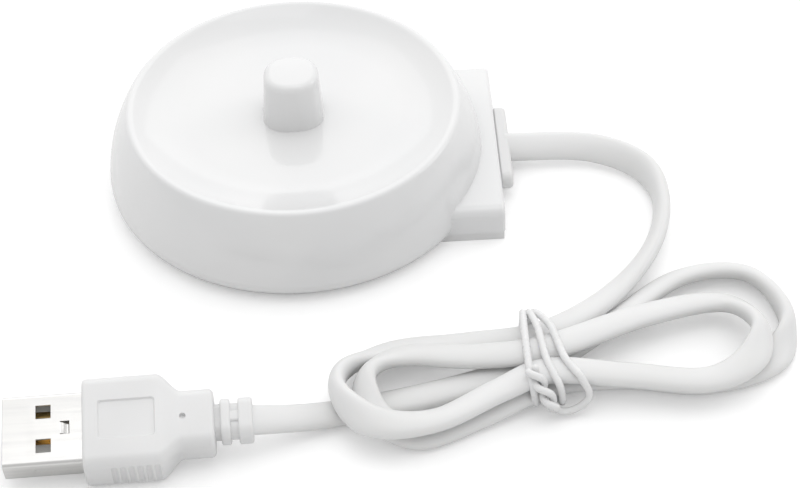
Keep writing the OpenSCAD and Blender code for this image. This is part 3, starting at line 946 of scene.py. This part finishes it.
    def shell(self) -> bpy.types.Object:
        """Makes the one-piece upper shell with its hollow and its slots.

        Returns:
            The shell.
        """
        obj = solid("upper_shell", lathe(self.outer_profile(), self.segments))
        combine(obj, solid("tail_block", self.tail_shape()), "UNION")
        combine(obj, solid("post_block", self.post_shape()), "UNION")
        combine(obj, solid("hollow", lathe(self.inner_profile(), 128)), "DIFFERENCE")
        hollow = [[Vector((x, y, z)) for y, z in self.tail_outline(self.wall, -1)]
                  for x in (2, self.tail_x - self.wall)]
        combine(obj, solid("tail_hollow", loft(hollow)), "DIFFERENCE")
        half, past = self.tail_w / 2 + self.gap, 40.0
        seat = box((self.tail_start_x, -half, -1), (past, half, self.cover_t + self.gap))
        combine(obj, solid("cover_seat", seat), "DIFFERENCE")
        slot_half = self.grommet_l / 2 - 2
        slot_top = self.outlet_z + self.grommet_h / 2 - 0.6
        slot = box((self.tail_x - self.wall - 1, -slot_half, -1), (past, slot_half, slot_top))
        combine(obj, solid("grommet_slot", slot), "DIFFERENCE")
        smooth(obj, 30)
        FINISHES.dress(obj, GLOSS_SHELL)
        return place(obj, "gloss_shell", "top_shell")

    def grommet_ring(self, x: float, length: float, height: float) -> list[Vector]:
        """One ring of the grommet: a slot shape in the plane across x."""
        outline = rounded_rect(length, height, height / 2 - 0.001, 12)
        return [Vector((x, y, z + self.outlet_z)) for y, z in outline]

    def grommet(self) -> bpy.types.Object:
        """Makes the soft grommet: flange inside, neck in the slot and rounded plate outside.

        Returns:
            The grommet.
        """
        inside, outside = self.tail_x - self.wall, self.tail_x + self.grommet_out
        neck_l, neck_h = self.grommet_l - 6, self.grommet_h - 1.6
        edge = 0.75
        rings = [self.grommet_ring(inside - 1.4, self.grommet_l - 3.4, self.grommet_h - 1.8),
                 self.grommet_ring(inside - 1.2, self.grommet_l - 3, self.grommet_h - 1.4),
                 self.grommet_ring(inside - 0.12, self.grommet_l - 3, self.grommet_h - 1.4),
                 self.grommet_ring(inside - 0.1, neck_l, neck_h),
                 self.grommet_ring(self.tail_x + 0.12, neck_l, neck_h)]
        rings += [self.grommet_ring(self.tail_x + 0.12 + 0.2 * rise, self.grommet_l - 0.4 * (1 - rise),
                                    self.grommet_h - 0.4 * (1 - rise)) for rise in (0, 0.5, 1)]
        for inset, rise in quarter_turn(8):
            rings.append(self.grommet_ring(outside - edge + rise * edge, self.grommet_l - 2 * inset * edge,
                                           self.grommet_h - 2 * inset * edge))
        obj = solid("outlet_grommet", loft(rings))
        smooth(obj, 40)
        FINISHES.dress(obj, GROMMET_VINYL)
        return place(obj, "cord_vinyl", "cord_grommet")


# ---------------------------------------------------------------- windings


class WindingTree:
    """Geometry node tree that winds round wire in a helix about the z axis."""

    name = "wire_winding"

    def __init__(self) -> None:
        """Builds the tree once, with named inputs for its sizes."""
        tree = bpy.data.node_groups.new(self.name, "GeometryNodeTree")
        self.tree = tree
        for label, value in (("Radius", 0.003), ("Height", 0.01), ("Base", 0.0), ("Turns", 20.0),
                             ("Wire", 0.0004), ("Centre X", 0.0), ("Centre Y", 0.0)):
            socket = tree.interface.new_socket(label, in_out="INPUT", socket_type="NodeSocketFloat")
            socket.default_value = value
        tree.interface.new_socket("Finish", in_out="INPUT", socket_type="NodeSocketMaterial")
        tree.interface.new_socket("Geometry", in_out="OUTPUT", socket_type="NodeSocketGeometry")
        self.wire_up(Canvas(tree))

    def wire_up(self, canvas: Canvas) -> None:
        """Adds and joins the tree's nodes."""
        given = canvas.add("NodeGroupInput").outputs
        helix = canvas.add("GeometryNodeCurveSpiral", {
            "Resolution": 36, "Rotations": given["Turns"], "Start Radius": given["Radius"],
            "End Radius": given["Radius"], "Height": given["Height"]})
        centre = canvas.add("ShaderNodeCombineXYZ", {"X": given["Centre X"], "Y": given["Centre Y"],
                                                     "Z": given["Base"]})
        moved = canvas.add("GeometryNodeTransform", {"Geometry": helix.outputs["Curve"],
                                                     "Translation": centre.outputs["Vector"]})
        half = canvas.maths("MULTIPLY", given["Wire"], 0.5)
        section = canvas.add("GeometryNodeCurvePrimitiveCircle", {"Resolution": 10, "Radius": half})
        tube = canvas.add("GeometryNodeCurveToMesh", {"Curve": moved.outputs["Geometry"],
                                                      "Profile Curve": section.outputs["Curve"],
                                                      "Fill Caps": True})
        real = canvas.add("GeometryNodeRealizeInstances", {"Geometry": tube.outputs["Mesh"]})
        dressed = canvas.add("GeometryNodeSetMaterial", {"Geometry": real.outputs["Geometry"],
                                                         "Material": given["Finish"]})
        out = canvas.add("NodeGroupOutput")
        canvas.fill(out, {"Geometry": dressed.outputs["Geometry"]})

    def wind(self, name: str, values: dict[str, object]) -> bpy.types.Object:
        """Winds one coil and turns it into a plain mesh.

        Args:
            name: the new object's name.
            values: sizes in metres, by input name.

        Returns:
            The winding.
        """
        obj = add_object(name, bpy.data.meshes.new(name))
        step = obj.modifiers.new("winding", "NODES")
        step.node_group = self.tree
        for item in self.tree.interface.items_tree:
            if item.in_out == "INPUT" and item.name in values:
                step[item.identifier] = values[item.name]
        baked(obj)
        return smooth(obj, 60)


@dataclass
class ChargingCoil:
    """Enamelled wire on the bobbin in the post, and the filter choke on the board."""

    wire: float = 0.4
    coil_r: float = 3.1
    core_r: float = 2.25
    choke_at: Point2 = (-4.0, -13.0)
    choke_r: float = 4.0
    choke_winding_r: float = 3.5
    board_top: float = 5.4

    def build(self, tree: WindingTree) -> None:
        """Winds both coils and turns the choke's drum."""
        low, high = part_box("primary_coil")
        height = (high.z - low.z) / MM - self.wire
        coil = tree.wind("post_winding", {
            "Radius": (self.coil_r - self.wire / 2) * MM, "Height": height * MM,
            "Base": low.z + self.wire / 2 * MM, "Turns": float(int(height / self.wire)),
            "Wire": self.wire * MM, "Finish": FINISHES.get(COPPER)})
        sleeve = self.sleeve(self.core_r, self.coil_r - self.wire * 0.6,
                             low.z / MM + 0.05, high.z / MM - 0.05)
        inner = solid("winding_layers", lathe(sleeve, 64))
        smooth(FINISHES.dress(inner, COPPER))
        place(coil, "copper_winding", "primary_coil")
        place(inner, "copper_winding")
        self.choke(tree)

    @staticmethod
    def sleeve(inside: float, outside: float, bottom: float, top: float) -> list[Point2]:
        """Half section of a plain sleeve."""
        return [(inside, bottom), (outside, bottom), (outside, top), (inside, top)]

    def choke(self, tree: WindingTree) -> None:
        """Makes the choke's ferrite drum and its winding."""
        base, r = self.board_top, self.choke_r
        drum = [(0, base), (r - 0.15, base), (r, base + 0.15), (r, base + 0.7), (r - 0.1, base + 0.8),
                (2.2, base + 0.8), (2.2, base + 3.6), (r - 0.1, base + 3.6), (r, base + 3.7),
                (r, base + 4.25), (r - 0.15, base + 4.4), (1.0, base + 4.4), (0.85, base + 4.3),
                (0, base + 4.3)]
        body = solid("choke_drum", lathe(drum, 96), Matrix.Translation((*self.choke_at, 0)))
        smooth(FINISHES.dress(body, FERRITE))
        place(body, "ferrite", "choke")
        span = 2.8 - self.wire
        winding = tree.wind("choke_winding", {
            "Radius": (self.choke_winding_r - self.wire / 2) * MM, "Height": span * MM,
            "Base": (base + 0.8 + self.wire / 2) * MM, "Turns": float(int(span / self.wire)),
            "Wire": self.wire * MM, "Centre X": self.choke_at[0] * MM, "Centre Y": self.choke_at[1] * MM,
            "Finish": FINISHES.get(COPPER)})
        place(winding, "copper_winding")


# ---------------------------------------------------------------- plug


@dataclass
class UsbPlug:
    """The moulded plug: steel shell, soft body with grip, and slotted strain relief."""

    front: tuple[float, float, float] = (-45.6, -63.5, 5.6)
    yaw: float = 1.4
    roll: float = 16.0
    shell_l: float = 12.2
    shell_end: float = 18.6
    shell_w: float = 12.0
    shell_h: float = 4.5
    shell_t: float = 0.3
    grip_w: float = 15.6
    grip_t: float = 8.0
    corner_r: float = 2.0
    front_edge: float = 0.6
    taper_x: float = 23.8
    neck_x: float = 27.0
    neck_end: float = 32.0
    neck_w: float = 10.0
    neck_t: float = 6.4
    neck_edge: float = 0.7
    plug_l: float = 37.8
    relief_w: float = 6.8
    relief_t: float = 5.0
    relief_r: float = 1.8
    relief_edge: float = 0.35
    web_w: float = 1.8
    grooves: int = 6
    groove_x: float = 4.6
    groove_r: float = 0.55
    groove_half: float = 3.0
    groove_pitch: float = 1.3
    panel_x: float = 6.7
    panel_l: float = 8.7
    panel_w: float = 6.5
    window_x: Point2 = (5.1, 7.4)
    window_y: Point2 = (1.7, 4.0)
    lock_x: Point2 = (8.8, 10.2)
    lock_half: float = 1.1

    def matrix(self) -> Matrix:
        """Where the plug lies, in millimetres."""
        return (Matrix.Translation(self.front) @ Matrix.Rotation(math.radians(self.yaw), 4, "Z")
                @ Matrix.Rotation(math.radians(self.roll), 4, "X"))

    @staticmethod
    def ring(x: float, width: float, thick: float, radius: float) -> list[Vector]:
        """One ring of the plug: a rounded rectangle across x."""
        return [Vector((x, y, z)) for y, z in rounded_rect(width, thick, radius, 8)]

    def sheath(self) -> bpy.types.Object:
        """Makes the folded steel shell with its windows, latch spring and seam.

        Returns:
            The shell.
        """
        wide, high = self.shell_w - 2 * self.shell_t, self.shell_h - 2 * self.shell_t
        stations = [1 + 2.2 * k for k in range(8)]
        outer = [self.ring(0.0, self.shell_w - 0.3, self.shell_h - 0.3, 0.6),
                 *[self.ring(x, self.shell_w, self.shell_h, 0.7) for x in (0.12, *stations, self.shell_end)]]
        inner = [self.ring(x, wide, high, 0.4) for x in (self.shell_end, *reversed(stations), 0.0)]
        obj = solid("plug_sheath", loft([*outer, *inner, outer[0]], closed=False))
        near, far = self.window_y
        cutters = [box((self.window_x[0], low, -4), (self.window_x[1], high, 4))
                   for low, high in ((-far, -near), (near, far))]
        cutters.append(box((self.lock_x[0], -self.lock_half, 1), (self.lock_x[1], self.lock_half, 4)))
        cutters.append(box((2.0, -0.05, -4), (12.0, 0.05, -1)))
        combine(obj, solid("windows", joined(cutters)), "DIFFERENCE")
        combine(obj, solid("latch", self.latch_shape()), "UNION")
        return self.finish(obj, TIN_STEEL, "plug_steel", 30, "plug_shell")

    def latch_shape(self) -> Mesh:
        """The small spring tongue that is bent down into the upper sheet's locking hole."""
        top, start, length, thick = self.shell_h / 2 - self.shell_t / 2, self.lock_x[0] - 0.05, 1.25, 0.22
        rings = []
        for k in range(9):
            share = k / 8
            low = top - (0.1 + 0.55 * math.sin(math.pi / 2 * share) ** 2)
            half = 0.92 - 0.18 * share ** 3
            rings.append([Vector((start + length * share, y, z))
                          for y, z in ((-half, low), (half, low), (half, low + thick), (-half, low + thick))])
        return loft(rings)

    def finish(self, obj: bpy.types.Object, finish: PlasticFinish | MetalFinish, slot: str, angle: float,
               *nodes: str) -> bpy.types.Object:
        """Moves a plug part from its own axes to where the plug lies, and dresses it."""
        place_mm = self.matrix()
        place_m = place_mm.copy()
        place_m.translation = place_mm.translation * MM
        obj.data.transform(place_m)
        smooth(obj, angle)
        FINISHES.dress(obj, finish)
        return place(obj, slot, *nodes)

    def blunt_end(self, x: float, way: int, size: tuple[float, float, float], edge: float, corner: float,
                  steps: int = 5) -> list[list[Vector]]:
        """Rings of a rounded end.

        Args:
            x: where the end face is.
            way: 1 for the far end of a shape, -1 for its near end.
            size: full width, thickness and corner radius.
            edge: radius of the rounded edge.
            corner: how much the corner radius shrinks over it.
            steps: straight pieces in the edge.

        Returns:
            The rings, in order along x.
        """
        width, thick, radius = size
        rings = [self.ring(x - way * edge * (1 - rise), width - 2 * edge * inset, thick - 2 * edge * inset,
                           radius - corner * inset) for inset, rise in quarter_turn(steps)]
        return rings if way > 0 else rings[::-1]

    def body_shape(self) -> Mesh:
        """Outside of the moulded body, from its front face to the end of the neck."""
        grip, edge, radius = (self.grip_w, self.grip_t, self.corner_r), self.front_edge, self.corner_r
        rings = self.blunt_end(self.shell_l, -1, grip, edge, edge, 6)
        rings += [self.ring(self.shell_l + 1 + k, *grip) for k in range(11)]
        start, reach = self.taper_x - 0.4, self.neck_x - self.taper_x + 0.6
        for k in range(1, 13):
            share = k / 12
            ease = share * share * (3 - 2 * share)
            rings.append(self.ring(start + reach * share, self.grip_w + (self.neck_w - self.grip_w) * ease,
                                   self.grip_t + (self.neck_t - self.grip_t) * ease, radius))
        rings += self.blunt_end(self.neck_end, 1, (self.neck_w, self.neck_t, radius), self.neck_edge, 0.5)
        return loft(rings)

    def relief_shape(self) -> list[Mesh]:
        """The relief: a slim core, two rounded rings and the web that joins them."""
        size, edge, start = (self.relief_w, self.relief_t, self.relief_r), self.relief_edge, self.neck_end
        shapes = [loft([self.ring(x, 5.7, 3.6, 1.6) for x in (start - 1, self.plug_l - 0.2)])]
        for low, high in ((start + 0.9, start + 2.4), (start + 3.6, self.plug_l)):
            near, far = self.blunt_end(low, -1, size, edge, edge), self.blunt_end(high, 1, size, edge, edge)
            shapes.append(loft([*near, *far]))
        web = [self.ring(x, self.web_w, self.relief_t - 0.6, 0.4) for x in (start + 2.1, start + 3.9)]
        return [*shapes, loft(web)]

    def over_mould(self) -> bpy.types.Object:
        """Makes the soft body: grip with grooves, square panel, gate mark, neck and relief.

        Returns:
            The body.
        """
        obj = solid("plug_grip", self.body_shape())
        for shape in self.relief_shape():
            combine(obj, solid("relief_part", shape), "UNION")
        seat = [self.ring(x, self.shell_w + 0.06, self.shell_h + 0.06, 0.7)
                for x in (self.shell_l - 1, self.shell_end + 0.1)]
        mould = [self.ring(x, 12.66, 5.46, 1.0) for x in (self.shell_end, 25.05)]
        combine(obj, solid("shell_seat", loft(seat)), "DIFFERENCE")
        combine(obj, solid("mould_seat", loft(mould)), "DIFFERENCE")
        grooves = []
        for side in (-1, 1):
            for k in range(self.grooves):
                x, y = self.shell_l + self.groove_x + self.groove_pitch * k, side * (self.grip_w / 2 + 0.2)
                tip, full = self.groove_half, self.groove_half - 0.4
                grooves.append(loft([disc(x, y, z, self.groove_r * share)
                                     for z, share in ((-tip, 0.5), (-full, 1), (full, 1), (tip, 0.5))]))
        combine(obj, solid("grooves", joined(grooves)), "DIFFERENCE")
        face, middle, inset = self.grip_t / 2, self.shell_l + self.panel_x, 0.4
        panel = [[Vector((middle + x, y, z)) for x, y in rounded_rect(w, h, 0.5, 5)]
                 for z, w, h in ((face - 0.3, self.panel_l - inset, self.panel_w - inset),
                                 (face + 0.01, self.panel_l, self.panel_w),
                                 (face + 1, self.panel_l, self.panel_w))]
        combine(obj, solid("panel", loft(panel)), "DIFFERENCE")
        face = self.neck_t / 2
        gate = [disc(self.neck_x + 0.3, 0, face + z, r) for z, r in ((-0.6, 0.4), (-0.1, 0.5), (1.5, 0.5))]
        combine(obj, solid("gate", loft(gate)), "DIFFERENCE")
        return self.finish(obj, PLUG_VINYL, "plug_vinyl", 28, "plug_body")


# ---------------------------------------------------------------- studio


@dataclass
class Studio:
    """Pale floor, soft light and the camera."""

    lens: float = 108.0
    sensor: float = 36.0
    eye: tuple[float, float, float] = (9.1, -312.2, 273.2)
    pitch: float = 42.99
    yaw: float = 1.47
    roll: float = 2.16
    dome_centre: tuple[float, float, float] = (0.05, 0.6, 0.8)
    dome_edge: Point2 = (0.15, 0.75)
    dome_light: float = 1.22
    front_light: float = 0.72
    floor_size: float = 4.0
    floor_glow: float = 0.24

    def camera(self) -> None:
        """Places the camera above the front of the base, turned slightly to the right."""
        pitch, yaw, roll = (math.radians(a) for a in (self.pitch, self.yaw, self.roll))
        ahead = Vector((math.sin(yaw) * math.cos(pitch), math.cos(yaw) * math.cos(pitch), -math.sin(pitch)))
        level = Vector((math.cos(yaw), -math.sin(yaw), 0))
        above = level.cross(ahead)
        right = math.cos(roll) * level - math.sin(roll) * above
        up = math.sin(roll) * level + math.cos(roll) * above
        data = bpy.data.cameras.new("camera")
        data.lens, data.sensor_width = self.lens, self.sensor
        data.clip_start, data.clip_end = 0.01, 20
        obj = add_object("camera", data)
        turn = Matrix((right, up, -ahead)).transposed().to_4x4()
        obj.matrix_world = Matrix.Translation(Vector(self.eye) * MM) @ turn
        bpy.context.scene.camera = obj

    def lights(self) -> None:
        """Hangs the soft boxes and sets the even light of the room."""
        world = bpy.data.worlds.new("room")
        bpy.context.scene.world = world
        world.use_nodes = True
        canvas = Canvas(world.node_tree)
        sky = canvas.add("ShaderNodeTexCoord").outputs["Generated"]
        towards = canvas.add("ShaderNodeVectorMath", {0: sky, 1: self.dome_centre}, operation="DOT_PRODUCT")
        strength = canvas.spread(towards.outputs["Value"], *self.dome_edge, self.front_light, self.dome_light)
        background = world.node_tree.nodes["Background"]
        canvas.fill(background, {"Color": (1, 1, 1, 1), "Strength": strength})
        for name, place_at, size, power in (("back_box", (0.02, 0.74, 0.70), 0.62, 0.6),
                                            ("top_box", (0.1, -0.05, 0.95), 0.5, 0.5),
                                            ("right_box", (0.85, 0.15, 0.5), 0.4, 0.5)):
            data = bpy.data.lights.new(name, "AREA")
            data.shape, data.size, data.energy = "SQUARE", size, power
            obj = add_object(name, data)
            obj.location = place_at
            obj.rotation_mode = "QUATERNION"
            obj.rotation_quaternion = (Vector((0, -0.02, 0)) - Vector(place_at)).to_track_quat("-Z", "Y")

    def floor(self) -> None:
        """Lays the pale floor."""
        half = self.floor_size / 2
        points = [(x, y, 0) for x, y in ((-half, -half), (half, -half), (half, half), (-half, half))]
        mesh = bpy.data.meshes.new("studio_floor")
        mesh.from_pydata(points, [], [(0, 1, 2, 3)])
        obj = add_object("studio_floor", mesh)
        made, canvas, shader, vector = start_material("pale_floor")
        cloud = canvas.noise(vector, 6.0)
        canvas.fill(shader, {"Base Color": canvas.blend(cloud, (0.82, 0.82, 0.82), (0.84, 0.84, 0.84)),
                             "Roughness": 0.7, "Specular IOR Level": 0.2, "Emission Color": (1, 1, 1, 1)})
        camera_ray = canvas.add("ShaderNodeLightPath").outputs["Is Camera Ray"]
        seen = canvas.maths("MULTIPLY", camera_ray, self.floor_glow)
        canvas.fill(shader, {"Emission Strength": seen})
        obj.data.materials.append(made)


CARRIED = {
    "bottom_cover": SATIN_COVER, "seal_ring": SEAL_RUBBER, "ferrite_core": FERRITE, "coil_bobbin": BOBBIN,
    "coil_leads": COPPER, "circuit_board": BOARD, "driver_chip": EPOXY, "film_capacitors": CAPACITOR_RED,
    "electrolytic_capacitor": SLEEVE, "chip_parts": EPOXY, "supply_lead_red": LEAD_RED,
    "supply_lead_black": LEAD_BLACK, "plug_tongue": INSULATOR, "plug_contacts": GOLD,
    "plug_carrier": INSULATOR, "plug_solder_leads": TINNED, "plug_inner_mould": INNER_MOULD}


def main() -> None:
    """Builds the studio and every piece in order."""
    logging.basicConfig(level=logging.INFO, format="%(name)s %(message)s")
    bpy.context.scene.view_settings.view_transform = "Standard"
    studio = Studio()
    studio.camera()
    cord = FlatCord()
    jacket = cord.build()
    tie = TwistTie().build()
    base = ChargingBase()
    base.shell()
    grommet = base.grommet()
    ChargingCoil().build(WindingTree())
    plug = UsbPlug()
    sheath, grip = plug.sheath(), plug.over_mould()
    for name, finish in CARRIED.items():
        FINISHES.dress(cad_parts[name], finish)
    cord.declare(jacket)
    studio.lights()
    studio.floor()


if __name__ == "__main__":
    main()
